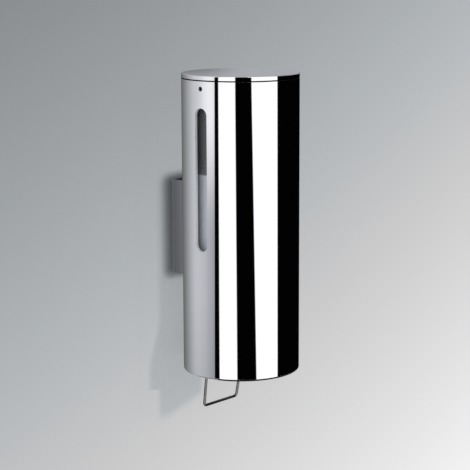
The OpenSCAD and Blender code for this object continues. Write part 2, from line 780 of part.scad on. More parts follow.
// Bent strap under the base plate whose ears hold the lever's pin.
module lever_bracket() {
    outer_x = hub_w / 2 + ear_gap + ear_t;
    top = plate_z;
    low = pivot_z - ear_r;
    color("silver") in_shell() translate([0, pivot_y, 0]) difference() {
        rotate([90, 0, 0]) linear_extrude(strap_len, center = true) difference() {
            channel(outer_x, top, low, bend_in + strap_t);
            channel(outer_x - ear_t, top - strap_t, low - eps, bend_in);
        }
        rotate([90, 0, 90]) linear_extrude(2 * outer_x + 2 * eps, center = true)
            for (side = [0, 1]) mirror([side, 0]) difference() {
                translate([0, low - eps]) square([strap_len, top - strap_t - bend_in - low]);
                translate([0, pivot_z]) circle(ear_r);
                translate([-eps, pivot_z]) square([ear_r + eps, top - pivot_z]);
            }
        translate([0, 0, pivot_z]) rotate([0, 90, 0])
            cylinder(d = pin_d + 2 * seat, h = 2 * outer_x + 2 * eps, center = true);
        for (x = [-1, 1] * strap_screw_x) translate([x, 0, top - strap_t - eps])
            cylinder(d = small_screw_d + screw_clear, h = strap_t + 2 * eps);
    }
}

// Screws that hold the strap to the base plate.
module lever_bracket_screws() {
    color("gray") in_shell() for (x = [-1, 1] * strap_screw_x)
        translate([x, pivot_y, plate_z - strap_t])
            pan_screw(small_screw_d, plate_t + strap_t + 1, small_head_t);
}

// Pin through the ears and the fork, grooved for its clips.
module lever_pin() {
    color("silver") in_shell() translate([0, pivot_y, pivot_z]) rotate([0, 90, 0]) difference() {
        cylinder(d = pin_d, h = pin_len, center = true);
        for (side = [-1, 1]) translate([0, 0, side * (clip_z + clip_t / 2)])
            translate([0, 0, -clip_t / 2 - seat])
                ring(pin_d, pin_d / 2 - clip_groove, clip_t + 2 * seat);
    }
}

// Open rings in the pin's grooves.
module lever_pin_clips() {
    color("gray") in_shell() translate([0, pivot_y, pivot_z]) rotate([0, 90, 0])
        for (side = [-1, 1]) translate([0, 0, side * (clip_z + clip_t / 2) - clip_t / 2])
            difference() {
                ring(pin_d / 2 + clip_w, pin_d / 2 - clip_groove + seat, clip_t);
                translate([0, -pin_d * 0.35, -eps]) cube([pin_d * 2, pin_d * 0.7, clip_t + 2 * eps]);
            }
}

wall_plate();
bracket_housing();
bracket_grub_screw();
shell_screws();
shell();
ledge_ring();
base_plate();
base_plate_screws();
lid();
lid_seal();
lid_lock_screw();
reservoir();
reservoir_seal();
soap_fill();
pump_body();
pump_nut();
stem_guide();
inlet_ball();
inlet_spring();
inlet_cage();
plunger();
piston_seal();
lift_collar();
return_spring();
nozzle_cap();
drip_valve();
lever_fork();
wire_bail();
lever_bracket();
lever_bracket_screws();
lever_pin();
lever_pin_clips();
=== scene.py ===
import math

import bpy
from mathutils import Matrix, Vector


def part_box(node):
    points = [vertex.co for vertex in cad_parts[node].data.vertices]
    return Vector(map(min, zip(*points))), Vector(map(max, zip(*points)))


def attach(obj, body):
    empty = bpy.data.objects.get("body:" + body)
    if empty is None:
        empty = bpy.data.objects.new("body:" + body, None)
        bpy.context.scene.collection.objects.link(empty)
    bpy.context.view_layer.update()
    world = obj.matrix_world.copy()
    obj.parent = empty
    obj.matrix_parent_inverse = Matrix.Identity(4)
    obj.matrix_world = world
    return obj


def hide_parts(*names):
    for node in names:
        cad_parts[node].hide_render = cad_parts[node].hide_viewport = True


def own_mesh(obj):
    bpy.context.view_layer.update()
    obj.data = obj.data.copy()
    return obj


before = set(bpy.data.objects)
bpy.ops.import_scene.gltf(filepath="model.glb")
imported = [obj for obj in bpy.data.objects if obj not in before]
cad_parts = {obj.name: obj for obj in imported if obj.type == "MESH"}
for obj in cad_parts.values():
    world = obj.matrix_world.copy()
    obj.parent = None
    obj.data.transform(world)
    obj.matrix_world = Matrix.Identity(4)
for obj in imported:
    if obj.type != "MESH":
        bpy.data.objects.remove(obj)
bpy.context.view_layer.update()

SCENE = bpy.context.scene
MM = 0.001

# Places from the CAD: the shell's axis, height and radii, the lid's top and the bracket block.
SHELL_LOW, SHELL_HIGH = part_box("shell")
AXIS_X = (SHELL_LOW.x + SHELL_HIGH.x) / 2
AXIS_Y = (SHELL_LOW.y + SHELL_HIGH.y) / 2
SHELL_R = (SHELL_HIGH.x - SHELL_LOW.x) / 2
PLATE_LOW, PLATE_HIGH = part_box("base_plate")
PLATE_GAP = 0.3 * MM          # what the base plate keeps clear of the shell's inner wall
INNER_R = (PLATE_HIGH.x - PLATE_LOW.x) / 2 + PLATE_GAP
LID_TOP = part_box("lid")[1].z
BRACKET_LOW, BRACKET_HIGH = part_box("bracket_housing")
SEAM_H = 0.6 * MM             # height of the gap between the shell and the lid's rim


# ---------------------------------------------------------------- node helpers

class Tree:
    """A node tree with short calls for the nodes that the materials share."""

    def __init__(self, tree):
        self.tree = tree
        self.coords = None

    def add(self, kind, **settings):
        node = self.tree.nodes.new("ShaderNode" + kind)
        for name, value in settings.items():
            setattr(node, name, value)
        return node

    def feed(self, socket, value):
        """Links a socket to an output, or sets its plain value. None leaves it as it is."""
        if isinstance(value, bpy.types.NodeSocket):
            self.tree.links.new(value, socket)
        elif value is not None:
            socket.default_value = value

    def math(self, operation, *values):
        node = self.add("Math", operation=operation)
        for socket, value in zip(node.inputs, values):
            self.feed(socket, value)
        return node.outputs[0]

    def plus(self, a, b):
        return self.math("ADD", a, b)

    def minus(self, a, b):
        return self.math("SUBTRACT", a, b)

    def times(self, first, *others):
        for other in others:
            first = self.math("MULTIPLY", first, other)
        return first

    def larger(self, a, b):
        return self.math("MAXIMUM", a, b)

    def between(self, value, low, high, to_low=0.0, to_high=1.0, smooth=True):
        """value from low..high to to_low..to_high, clamped, with soft ends."""
        node = self.add("MapRange", interpolation_type="SMOOTHSTEP" if smooth else "LINEAR")
        for name, v in (("Value", value), ("From Min", low), ("From Max", high),
                        ("To Min", to_low), ("To Max", to_high)):
            self.feed(node.inputs[name], v)
        return node.outputs["Result"]

    def fall(self, value, low, high):
        """1 where value is under low, softly down to 0 where it is over high."""
        return self.between(value, low, high, 1.0, 0.0)

    def place(self):
        """The point on the piece in the row frame, in metres."""
        if self.coords is None:
            self.coords = self.add("TexCoord").outputs["Object"]
        return self.coords

    def noise(self, size_mm, detail=3.0, rough=0.5, stretch=(1, 1, 1)):
        """Noise whose features are size_mm wide; stretch makes them longer along an axis."""
        mapping = self.add("Mapping")
        self.feed(mapping.inputs["Vector"], self.place())
        mapping.inputs["Scale"].default_value = [1 / s for s in stretch]
        node = self.add("TexNoise")
        self.feed(node.inputs["Vector"], mapping.outputs["Vector"])
        node.inputs["Scale"].default_value = 1 / (size_mm * MM)
        node.inputs["Detail"].default_value = detail
        node.inputs["Roughness"].default_value = rough
        return node.outputs["Fac"]

    def mix(self, share, a, b):
        """Colour a where share is 0 and b where it is 1."""
        node = self.add("Mix", data_type="RGBA")
        self.feed(node.inputs["Factor"], share)
        for socket, value in ((node.inputs[6], a), (node.inputs[7], b)):
            if isinstance(value, (tuple, list)):
                value = (*value[:3], 1.0)
            self.feed(socket, value)
        return node.outputs[2]

    def mix_shaders(self, share, a, b):
        """Shader a where share is 0 and b where it is 1."""
        node = self.add("MixShader")
        for socket, value in zip(node.inputs, (share, a, b)):
            self.feed(socket, value)
        return node.outputs[0]

    def emission(self, colour, strength=1.0):
        node = self.add("Emission")
        self.feed(node.inputs["Color"], colour)
        self.feed(node.inputs["Strength"], strength)
        return node.outputs[0]

    def bump(self, height, depth_mm, normal=None):
        node = self.add("Bump")
        node.inputs["Strength"].default_value = 1.0
        node.inputs["Distance"].default_value = depth_mm * MM
        self.feed(node.inputs["Height"], height)
        self.feed(node.inputs["Normal"], normal)
        return node.outputs["Normal"]

    def split(self, vector=None):
        node = self.add("SeparateXYZ")
        self.feed(node.inputs[0], vector or self.place())
        return node.outputs

    def radius(self):
        """Distance from the shell's axis."""
        x, y, _ = self.split()
        dx = self.minus(x, AXIS_X)
        dy = self.minus(y, AXIS_Y)
        return self.math("SQRT", self.plus(self.times(dx, dx), self.times(dy, dy)))


def grey(value):
    return (value, value, value)


def toned(colour, by):
    """The colour times by, at most 1."""
    return [min(1, c * by) for c in colour]


def material(name, **values):
    """A Principled material: (material, its Tree, its shader). Values are set on the sockets."""
    mat = bpy.data.materials.new(name)
    mat.use_nodes = True
    shader = mat.node_tree.nodes["Principled BSDF"]
    for key, value in values.items():
        if key == "base_color":
            value = (*value, 1.0)
        socket = "IOR" if key == "ior" else key.replace("_", " ").title()
        shader.inputs[socket].default_value = value
    return mat, Tree(mat.node_tree), shader


def show(mat, t, surface):
    """Makes surface what the material shows."""
    t.feed(mat.node_tree.nodes["Material Output"].inputs["Surface"], surface)
    return mat


def dress(node, mat):
    """Puts a material on a CAD node."""
    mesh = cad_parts[node].data
    for i in range(len(mesh.materials)):
        mesh.materials[i] = mat


# ---------------------------------------------------------------- metals

WIPED_TONE = 0.985            # tone under a wiping mark, of the plate's own
WIPED = (0.35, 0.80)          # noise where the roughness of a wiping mark begins and is full
HAIRLINES = (0.55, 0.80)      # the same for hairlines
HAIRLINE_ROUGH = 0.012
WAVE_MM = 26                  # width of the plate's waves
# Tone and roughness of painted shade in gaps and of painted dark reflections on edges.
PAINTED_SHADE_TONE, PAINTED_SHADE_ROUGH = 0.012, 0.95

# Zones of the shell and the lid, in metres. Each pair is where a zone's soft edge begins and ends.
SKIN = (0.10 * MM, 0.22 * MM)         # depth under the outside where the shell gets bare
CUT_FROM = (0.05 * MM, 0.15 * MM)     # the slot's cut faces begin this far out from the inner wall
CUT_UNDER = (12 * MM, 15 * MM)        # and this far under the shell's top
LEDGE = (0.28 * MM, 0.34 * MM)        # depth of the painted shade on the ledge at the shell's top, under the seam
FOOT_UP = (1.215 * MM, 1.395 * MM)    # height of the painted dark reflection on the foot edge
FOOT_IN = (0.900 * MM, 0.945 * MM)    # its depth under the outside
FOOT_FRONT = (9 * MM, 15 * MM)        # the painted dark reflection begins this far in front of the axis
SEAM_EDGE = 0.05 * MM                 # softness of the painted shade in the lid's seam, up and down
SEAM_IN = (0.02 * MM, 0.10 * MM)      # its depth under the outside
BARE_TONES = (grey(0.31), grey(0.43))
CUT_TONES = (grey(0.93), grey(1.0))
BARE_ROUGH, BARE_METAL, CUT_METAL_LOSS = 0.42, 0.7, 0.65
RING_WIDTH = 0.45 * MM                # of the lid's turning rings


def wiped(t, colour, size_mm, stretch, rough, roughest):
    """Tone and roughness of polished plate with faint wiping marks."""
    smear = t.noise(size_mm, detail=5, rough=0.6, stretch=stretch)
    tone = t.mix(smear, toned(colour, WIPED_TONE), colour)
    return tone, t.between(smear, *WIPED, rough, roughest)


def chrome(name, colour, rough=0.02, wave_mm=0.012):
    """Polished chrome plate, a little wavy, with faint wiping marks and hairlines: (material,
    Tree, shader, tone, gloss)."""
    mat, t, shader = material(name, metallic=1.0)
    tone, gloss = wiped(t, colour, 22, (1, 1, 2.5), rough, rough * 2.2)
    hairlines = t.between(t.noise(0.9, detail=2, stretch=(1, 1, 9)), *HAIRLINES)
    gloss = t.plus(gloss, t.times(hairlines, HAIRLINE_ROUGH))
    t.feed(shader.inputs["Base Color"], tone)
    t.feed(shader.inputs["Roughness"], gloss)
    t.feed(shader.inputs["Normal"], t.bump(t.noise(WAVE_MM, detail=1), wave_mm))
    return mat, t, shader, tone, gloss


def with_painted_shade(mat, t, shader, tone, gloss, metal, dark):
    """Paints the metal black and dull where dark is 1: painted shade in gaps, and a painted dark
    reflection on edges.
    """
    t.feed(shader.inputs["Base Color"], t.mix(dark, tone, grey(PAINTED_SHADE_TONE)))
    t.feed(shader.inputs["Roughness"], t.larger(gloss, t.times(dark, PAINTED_SHADE_ROUGH)))
    t.feed(shader.inputs["Metallic"], t.larger(metal, dark))
    return mat


def shell_chrome(name, colour):
    """Chrome tube. Inside its skin the metal is bare: bright where the slot is cut, satin on
    the inner wall. The ledge under the lid gets painted shade, and the front of the foot edge a
    painted dark reflection."""
    mat, t, shader, tone, gloss = chrome(name, colour)
    _, y, z = t.split()
    reach = t.radius()
    bare = t.fall(reach, SHELL_R - SKIN[1], SHELL_R - SKIN[0])
    cut = t.times(bare, t.between(reach, INNER_R + CUT_FROM[0], INNER_R + CUT_FROM[1]),
                  t.fall(z, SHELL_HIGH.z - CUT_UNDER[1], SHELL_HIGH.z - CUT_UNDER[0]))
    streaks = t.noise(0.35, detail=3, stretch=(1, 1, 30))
    tone = t.mix(bare, tone, t.mix(streaks, *BARE_TONES))
    tone = t.mix(cut, tone, t.mix(streaks, *CUT_TONES))
    metal = t.minus(t.between(bare, 0.0, 1.0, 1.0, BARE_METAL), t.times(cut, CUT_METAL_LOSS))
    gloss = t.larger(gloss, t.times(bare, BARE_ROUGH))
    # Painted shade on the ledge under the lid's seam, and a painted dark reflection on the front
    # of the foot edge.
    ledge = t.between(z, SHELL_HIGH.z - LEDGE[1], SHELL_HIGH.z - LEDGE[0])
    foot = t.times(t.fall(z, SHELL_LOW.z + FOOT_UP[0], SHELL_LOW.z + FOOT_UP[1]),
                   t.between(reach, SHELL_R - FOOT_IN[1], SHELL_R - FOOT_IN[0]),
                   t.fall(y, AXIS_Y - FOOT_FRONT[1], AXIS_Y - FOOT_FRONT[0]))
    return with_painted_shade(mat, t, shader, tone, gloss, metal, t.larger(ledge, foot))


def lid_chrome(name, colour):
    """Chrome over fine turning rings. The seam's faces, under the rim, get painted shade."""
    mat, t, shader = material(name, metallic=1.0)
    z = t.split()[2]
    reach = t.radius()
    rings = t.math("SINE", t.times(reach, 2 * math.pi / RING_WIDTH))
    tone, gloss = wiped(t, colour, 18, (1, 1, 1), 0.02, 0.05)
    wave = t.bump(t.noise(WAVE_MM, detail=1), 0.010)
    t.feed(shader.inputs["Normal"], t.bump(rings, 0.00012, wave))
    # Painted shade on the seam's faces, under the rim.
    seam_top = SHELL_HIGH.z + SEAM_H
    seam = t.times(t.between(z, SHELL_HIGH.z - SEAM_EDGE, SHELL_HIGH.z),
                   t.fall(z, seam_top, seam_top + SEAM_EDGE),
                   t.fall(reach, SHELL_R - SEAM_IN[1], SHELL_R - SEAM_IN[0]))
    return with_painted_shade(mat, t, shader, tone, gloss, 1.0, seam)


def steel(name, colour, rough, grain_mm, stretch):
    """Bare metal with a grain along one axis: rolled sheet, drawn wire or extruded bar."""
    mat, t, shader = material(name, metallic=1.0)
    grain = t.noise(grain_mm, detail=4, rough=0.65, stretch=stretch)
    cloud = t.noise(9, detail=4)
    tone = t.mix(grain, toned(colour, 0.86), toned(colour, 1.08))
    tone = t.mix(t.between(cloud, 0.3, 0.8, 0.0, 0.35), tone, toned(colour, 0.8))
    t.feed(shader.inputs["Base Color"], tone)
    t.feed(shader.inputs["Roughness"], t.between(grain, 0.2, 0.8, rough * 0.8, rough * 1.2))
    t.feed(shader.inputs["Normal"], t.bump(grain, 0.004))
    return mat


# ---------------------------------------------------------------- plastics, rubber, soap

def moulded(name, colour, rough, speck=None):
    """Injection moulded plastic: fine eroded texture, soft flow marks, optional glass specks."""
    mat, t, shader = material(name, metallic=0.0, ior=1.48)
    texture = t.noise(0.35, detail=3)
    flow = t.noise(14, detail=3, stretch=(1, 1, 3))
    tone = t.mix(t.between(flow, 0.3, 0.75), toned(colour, 0.94), colour)
    if speck is not None:
        fibres = t.noise(0.5, detail=2, stretch=(1, 3, 1))
        tone = t.mix(t.between(fibres, 0.62, 0.74, 0.0, 0.5), tone, speck)
    t.feed(shader.inputs["Base Color"], tone)
    eroded = t.between(texture, 0.2, 0.8, rough * 0.9, rough * 1.15)
    t.feed(shader.inputs["Roughness"], t.plus(eroded, t.times(flow, 0.05)))
    t.feed(shader.inputs["Normal"], t.bump(texture, 0.006))
    return mat


def rubber(name, colour, rough, translucent=0.0):
    """Matt rubber or silicone with a fine grain and a faint bloom."""
    mat, t, shader = material(name, metallic=0.0, ior=1.5)
    grain = t.noise(0.25, detail=4, rough=0.6)
    bloom = t.between(t.noise(5, detail=4), 0.4, 0.8, 0.0, 0.5)
    bloomed = [min(1, c * 1.5 + 0.01) for c in colour]
    t.feed(shader.inputs["Base Color"], t.mix(bloom, colour, bloomed))
    most = min(1, rough * 1.15)
    t.feed(shader.inputs["Roughness"], t.between(grain, 0.2, 0.8, rough * 0.85, most))
    t.feed(shader.inputs["Normal"], t.bump(grain, 0.01))
    if translucent:
        shader.inputs["Subsurface Weight"].default_value = translucent
        shader.inputs["Subsurface Radius"].default_value = (2 * MM, 2 * MM, 2 * MM)
    return mat


def clear_plastic(name):
    """Polycarbonate of the reservoir: clear, with faint flow lines and scuffs. Shadows and soft
    light pass through it."""
    mat, t, shader = material(name, metallic=0.0, ior=1.45, base_color=(0.81, 0.832, 0.89))
    shader.inputs["Transmission Weight"].default_value = 0.92
    flow = t.noise(11, detail=3, stretch=(1, 1, 4))
    scuffs = t.between(t.noise(0.6, detail=3, stretch=(1, 1, 12)), 0.55, 0.8)
    polish = t.between(flow, 0.3, 0.8, 0.03, 0.07)
    t.feed(shader.inputs["Roughness"], t.plus(polish, t.times(scuffs, 0.06)))
    t.feed(shader.inputs["Normal"], t.bump(flow, 0.02))
    path = t.add("LightPath").outputs
    passes = t.larger(path["Is Shadow Ray"], path["Is Diffuse Ray"])
    clear = t.add("BsdfTransparent").outputs[0]
    return show(mat, t, t.mix_shaders(passes, shader.outputs[0], clear))


def liquid(name):
    """Pearly hand soap, with a slight cloudiness and a glossy surface."""
    mat, t, shader = material(name, metallic=0.0, ior=1.38, roughness=0.12)
    cloud = t.noise(16, detail=4, rough=0.6, stretch=(1, 1, 2))
    t.feed(shader.inputs["Base Color"], t.mix(cloud, (0.88, 0.91, 0.955), (0.93, 0.95, 0.985)))
    t.feed(shader.inputs["Normal"], t.bump(t.noise(6, detail=2), 0.02))
    return mat


# ---------------------------------------------------------------- springs

COIL_STEPS, COIL_SIDES = 48, 12       # of a turn, and round the wire
FIRST_RISE = 0.15             # height of the wire's middle at the ground end, in wires
CLOSED_RISE = 1.06            # rise of the first and last turn, in wires


def coil(node, mat, wire, turns):
    """Replaces a CAD spring by a coil with closed, ground ends, and hangs it from the housing's
    body."""
    low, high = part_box(node)
    mid_x, mid_y, height = (low.x + high.x) / 2, (low.y + high.y) / 2, high.z - low.z
    mean_r = (high.x - low.x - wire) / 2
    start, closed = FIRST_RISE * wire, CLOSED_RISE * wire
    lead = (height - 2 * start - 2 * closed) / (turns - 2)
    points, faces = [], []
    for i in range(turns * COIL_STEPS + 1):
        turn = i / COIL_STEPS
        rise = start + closed * (min(turn, 1) + max(0, turn - turns + 1))
        rise += lead * min(max(turn - 1, 0), turns - 2)
        a = 2 * math.pi * turn
        for k in range(COIL_SIDES):
            b = 2 * math.pi * k / COIL_SIDES
            r = mean_r + wire / 2 * math.cos(b)
            z = min(max(rise + wire / 2 * math.sin(b), 0), height)
            points.append((mid_x + r * math.cos(a), mid_y + r * math.sin(a), low.z + z))
            if i:
                here, last = i * COIL_SIDES + k, (i - 1) * COIL_SIDES + k
                step = (k + 1) % COIL_SIDES - k
                faces.append((last, here, here + step, last + step))
    faces.append(tuple(range(COIL_SIDES)))
    faces.append(tuple(range(len(points) - 1, len(points) - COIL_SIDES - 1, -1)))
    mesh = bpy.data.meshes.new(node + "_coil")
    mesh.from_pydata(points, [], faces)
    mesh.polygons.foreach_set("use_smooth", [len(f) == 4 for f in faces])
    mesh.materials.append(mat)
    piece = bpy.data.objects.new(node + "_coil", mesh)
    SCENE.collection.objects.link(piece)
    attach(piece, "housing")
    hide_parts(node)
    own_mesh(piece)


def dress_nodes():
    bright = (0.93, 0.93, 0.945)
    dress("shell", shell_chrome("chrome_shell", bright))
    dress("lid", lid_chrome("chrome_lid", bright))
    dress("bracket_housing", chrome("chrome_bracket", (0.70, 0.70, 0.76), rough=0.05)[0])
    dress("wire_bail", chrome("chrome_wire", (0.34, 0.34, 0.345), wave_mm=0.002)[0])
    dress("nozzle_cap", chrome("chrome_nozzle", (0.90, 0.90, 0.91), rough=0.04)[0])
    dress("wall_plate", steel("plate_aluminium", (0.72, 0.73, 0.75), 0.36, 0.3, (40, 1, 1)))
    sheet = steel("sheet_steel", (0.62, 0.62, 0.63), 0.30, 0.25, (45, 1, 1))
    for node in ("base_plate", "ledge_ring", "lever_bracket"):
        dress(node, sheet)
    screws = steel("screw_steel", (0.60, 0.60, 0.61), 0.24, 0.18, (6, 6, 1))
    for node in ("shell_screws", "base_plate_screws", "lever_bracket_screws", "lever_pin",
                 "lift_collar"):
        dress(node, screws)
    black = steel("grub_steel", (0.10, 0.10, 0.105), 0.38, 0.3, (1, 1, 1))
    for node in ("bracket_grub_screw", "lid_lock_screw"):
        dress(node, black)
    wire = steel("spring_steel", (0.60, 0.60, 0.60), 0.26, 0.15, (1, 1, 1))
    dress("lever_pin_clips", wire)
    coil("return_spring", wire, 1.2 * MM, 6)
    coil("inlet_spring", wire, 0.5 * MM, 4)
    dress("inlet_ball", chrome("ball_steel", (0.80, 0.80, 0.81), rough=0.03, wave_mm=0.001)[0])
    white = moulded("pump_white", (0.83, 0.83, 0.80), 0.42)
    for node in ("pump_body", "plunger"):
        dress(node, white)
    ivory = moulded("guide_ivory", (0.78, 0.74, 0.63), 0.45)
    for node in ("stem_guide", "inlet_cage"):
        dress(node, ivory)
    dress("pump_nut", moulded("nut_grey", (0.33, 0.34, 0.35), 0.48))
    dress("lever_fork", moulded("fork_grey", (0.075, 0.078, 0.082), 0.52, speck=grey(0.22)))
    seal = rubber("seal_black", grey(0.018), 0.55)
    for node in ("lid_seal", "reservoir_seal", "piston_seal"):
        dress(node, seal)
    dress("drip_valve", rubber("valve_silicone", (0.70, 0.71, 0.70), 0.4, translucent=0.3))
    dress("reservoir", clear_plastic("reservoir_clear"))
    dress("soap_fill", liquid("soap_liquid"))


# ---------------------------------------------------------------- what the metal sees

# The room round the object, which stays where it is when the camera moves. Bearings are degrees
# round from where the photograph was taken, heights are degrees over the horizon, and a pair of
# them is where a change begins and where it ends.
CAMERA_BEARING = -138.87
# The wall side is a soft grey: bearing and level.
WALL_SIDE = [(-180.0, 0.48), (-137.0, 0.49), (-117.0, 0.53), (-93.0, 0.565), (-75.0, 0.51),
             (-50.0, 0.33)]
WALL_TINT = (0.974, 1.0, 1.061)
FLOOR_SIDE, FLOOR_DIM = (-16.0, -12.5), 0.15      # it is this much darker low down
HIGH_GLOW = (-60.0, 24.0, 0.56)       # bearing, half width and strength of a glow high up on it
GLOW_HEIGHTS, GLOW_LEVEL = (-10.6, -5.8), 1.3
# Upright panels follow it: the bearing where each begins at EDGE_HEIGHT, how far its edge leans
# per degree of height, and its level.
DARK, BRIGHT = 0.0006, 1.10
PANEL_EDGES = [(-52.6, 0.30, DARK), (-43.3, 0.06, BRIGHT), (-9.2, -0.19, DARK),
               (25.4, -0.82, BRIGHT), (76.1, -0.10, DARK)]
EDGE_HEIGHT, EDGE_SOFTNESS = -10.0, 0.9
LEAN_DOWN, LEAN_UP = -12, 14          # they lean as far as this under and over EDGE_HEIGHT
DARK_ABOVE, DARK_HEIGHTS = 0.12, (1, 12)          # the dark panels' level higher up
CEILING, CEILING_TINT = 0.41, (0.97, 0.995, 1.065)
BEHIND, CEILING_HEIGHTS = (145, 165), (0.5, 3.0)
ZENITH, ZENITH_SPREAD = (0.86, 0.16), 0.45        # levels overhead, left and right of this
ZENITH_HEIGHTS = (46, 72)
NADIR, NADIR_HEIGHTS = 0.20, (-66, -54)
AMBIENT = 0.72                # what everything but polished metal gets from all round
BACKGROUND = 0.80             # what the camera sees past the wall and the floor


def studio_world():
    """Plain ambient light, a plain background, and the room for polished metal."""
    world = bpy.data.worlds.new("studio")
    SCENE.world = world
    world.use_nodes = True
    world.cycles.sampling_method = "NONE"
    t = Tree(world.node_tree)
    shader = world.node_tree.nodes["Background"]
    x, y, z = t.split(t.add("TexCoord").outputs["Generated"])
    height = t.times(t.math("ARCSINE", z), 180 / math.pi)
    bearing = t.times(t.math("ARCTAN2", y, x), 180 / math.pi)
    # The share of a full turn, from the side opposite the camera, and the same in degrees.
    share = t.math("FRACT", t.times(t.plus(bearing, 2.5 * 360 - CAMERA_BEARING), 1 / 360))
    angle = t.minus(t.times(share, 360), 180)
    ramp = t.add("ValToRGB")
    t.feed(ramp.inputs["Fac"], share)
    stops = ramp.color_ramp.elements
    while len(stops) < len(WALL_SIDE):
        stops.new(0.5)
    for stop, (at, level) in zip(stops, WALL_SIDE):
        stop.position = (at + 180) / 360
        stop.color = (*[level * tint for tint in WALL_TINT], 1.0)
    low = t.between(height, *FLOOR_SIDE, 1.0, 0.0, smooth=False)
    panels = t.mix(t.times(low, FLOOR_DIM), ramp.outputs["Color"], grey(0.0))
    centre, width, strength = HIGH_GLOW
    off = t.math("DIVIDE", t.minus(angle, centre), width)
    glow = t.math("EXPONENT", t.times(off, off, -1))
    glow = t.times(glow, t.between(height, *GLOW_HEIGHTS, 0.0, strength))
    panels = t.mix(glow, panels, grey(GLOW_LEVEL))
    rise = t.between(height, EDGE_HEIGHT + LEAN_DOWN, EDGE_HEIGHT + LEAN_UP, LEAN_DOWN, LEAN_UP,
                     smooth=False)
    for at, lean, level in PANEL_EDGES:
        leant = t.minus(angle, t.times(rise, lean))
        step = t.between(leant, at - EDGE_SOFTNESS, at + EDGE_SOFTNESS)
        upper = grey(DARK_ABOVE) if level == DARK else grey(level)
        panel = t.mix(t.between(height, *DARK_HEIGHTS), grey(level), upper)
        panels = t.mix(step, panels, panel)
    # Behind the object, over the horizon, the lid sees the ceiling.
    behind = t.between(t.math("ABSOLUTE", angle), *BEHIND)
    ceiling = t.times(behind, t.between(height, *CEILING_HEIGHTS))
    panels = t.mix(ceiling, panels, toned(CEILING_TINT, CEILING))
    to_right = t.between(x, -ZENITH_SPREAD, ZENITH_SPREAD)
    overhead = t.mix(to_right, *[grey(level) for level in ZENITH])
    panels = t.mix(t.between(height, *ZENITH_HEIGHTS), panels, overhead)
    panels = t.mix(t.fall(height, *NADIR_HEIGHTS), panels, grey(NADIR))
    path = t.add("LightPath").outputs
    colour = t.mix(path["Is Glossy Ray"], grey(AMBIENT), panels)
    for kind in ("Is Transmission Ray", "Is Camera Ray"):
        colour = t.mix(path[kind], colour, grey(BACKGROUND))
    t.feed(shader.inputs["Color"], colour)
    shader.inputs["Strength"].default_value = 1.0


# ---------------------------------------------------------------- the wall

# The wall's tone as a screen shows it, a painted light falloff: in its middle, and how much it
# grows per metre to the right, upwards and both. It changes only within these spans, in metres.
WALL_TONE = (0.7068, 0.2355, -0.5862, 0.193)
TONE_ACROSS, TONE_UP = (-0.45, 0.55), (-0.32, 0.30)
SCREEN_POWER = 2.25
GRAIN_TONE = 0.006
COOL, WARM = (0.948, 1.0, 1.04), (1.0, 1.0, 1.01)
WARM_TONES = (0.70, 0.80)             # the paint turns from COOL to WARM between these tones
# Painted shade tint: in the shadow the paint keeps only this share of WARM, so it turns cooler.
WARM_IN_SHADOW = 0.3

# Lengths on the wall are metres: widths from the shell's axis, and heights from the shell's
# lower edge where no comment says otherwise. A pair is where a change begins and where it ends.
SHADOW_WIDTHS, SHADOW_NARROWS = (44 * MM, 33 * MM), (-6 * MM, 36 * MM)
TAIL_WIDTHS, TAIL_STEP = (34 * MM, 60 * MM), (-21 * MM, -15 * MM)
SHADOW_EDGE = 4 * MM
SHADOW_TOP = (-10 * MM, 12 * MM)      # from the bracket's top
SHADOW_END = (-48 * MM, -38 * MM)     # and from the first to the second place
END_PLACES, END_RISE = (-25 * MM, 12 * MM), 10 * MM         # it ends this much higher
LOOP_PLACES, LOOP_UNDER = (9 * MM, 17 * MM), (-14 * MM, -6 * MM)
SHADOW_DEPTHS, DEPTH_HEIGHTS = (0.46, 0.34), (-8 * MM, 47 * MM)
LEAST_DEPTH = 0.05            # share of the shadow that the rest of the wall takes

# Zones round the bracket, from its own edges: sideways, downwards and upwards.
# The first zone holds a painted shadow on the wall; in the second the wall takes the lamp's real
# shadow in full.
PAINTED_SHADOW_ZONE = ((0.0, 15 * MM), (-8 * MM, 3 * MM), (-1 * MM, 7 * MM))
NEAR = ((2 * MM, 20 * MM), (-12 * MM, 4 * MM), (-4 * MM, 10 * MM))
# Share of its tone that the painted shadow round the bracket leaves.
PAINTED_SHADOW_TONE = 0.48

# Painted shade that only polished metal sees on the wall, as dark glow: a zone behind the shell,
# and a wide one under it whose top edge falls outwards.
MASK_SIDE = (12 * MM, 70 * MM)
MASK_TOP = (-3 * MM, 10 * MM)         # from the lid's top
MASK_LOW = (-90 * MM, -60 * MM)
WIDE_TOP, WIDE_SLOPE, WIDE_EDGE = -12 * MM, -0.26, 6 * MM
WIDE_SIDE, WIDE_LOW = (200 * MM, 300 * MM), (-130 * MM, -100 * MM)
MASK_NEAREST = 0.6 * MM               # a face nearer to the wall than this sees past it
MASK_LEVELS, MASK_BRIGHTENS = (0.008, 0.13), (-20 * MM, -6 * MM)
# The painted shade over the bracket block is darker. Its heights are from the bracket's top.
PATCH_FROM, PATCH_TO = (-1 * MM, 1 * MM), (2 * MM, 4 * MM)
PATCH_SIDE, PATCH_LEVEL = (13 * MM, 17 * MM), 0.06


def ends(base, pair):
    """The two places of a pair that is measured from base."""
    return base + pair[0], base + pair[1]


def round_bracket(t, side, z, zone):
    """1 in a zone round the bracket block, softly down to 0 outside it."""
    outwards, downwards, upwards = zone
    return t.times(t.fall(side, *ends(BRACKET_HIGH.x, outwards)),
                   t.between(z, *ends(BRACKET_LOW.z, downwards)),
                   t.fall(z, *ends(BRACKET_HIGH.z, upwards)))


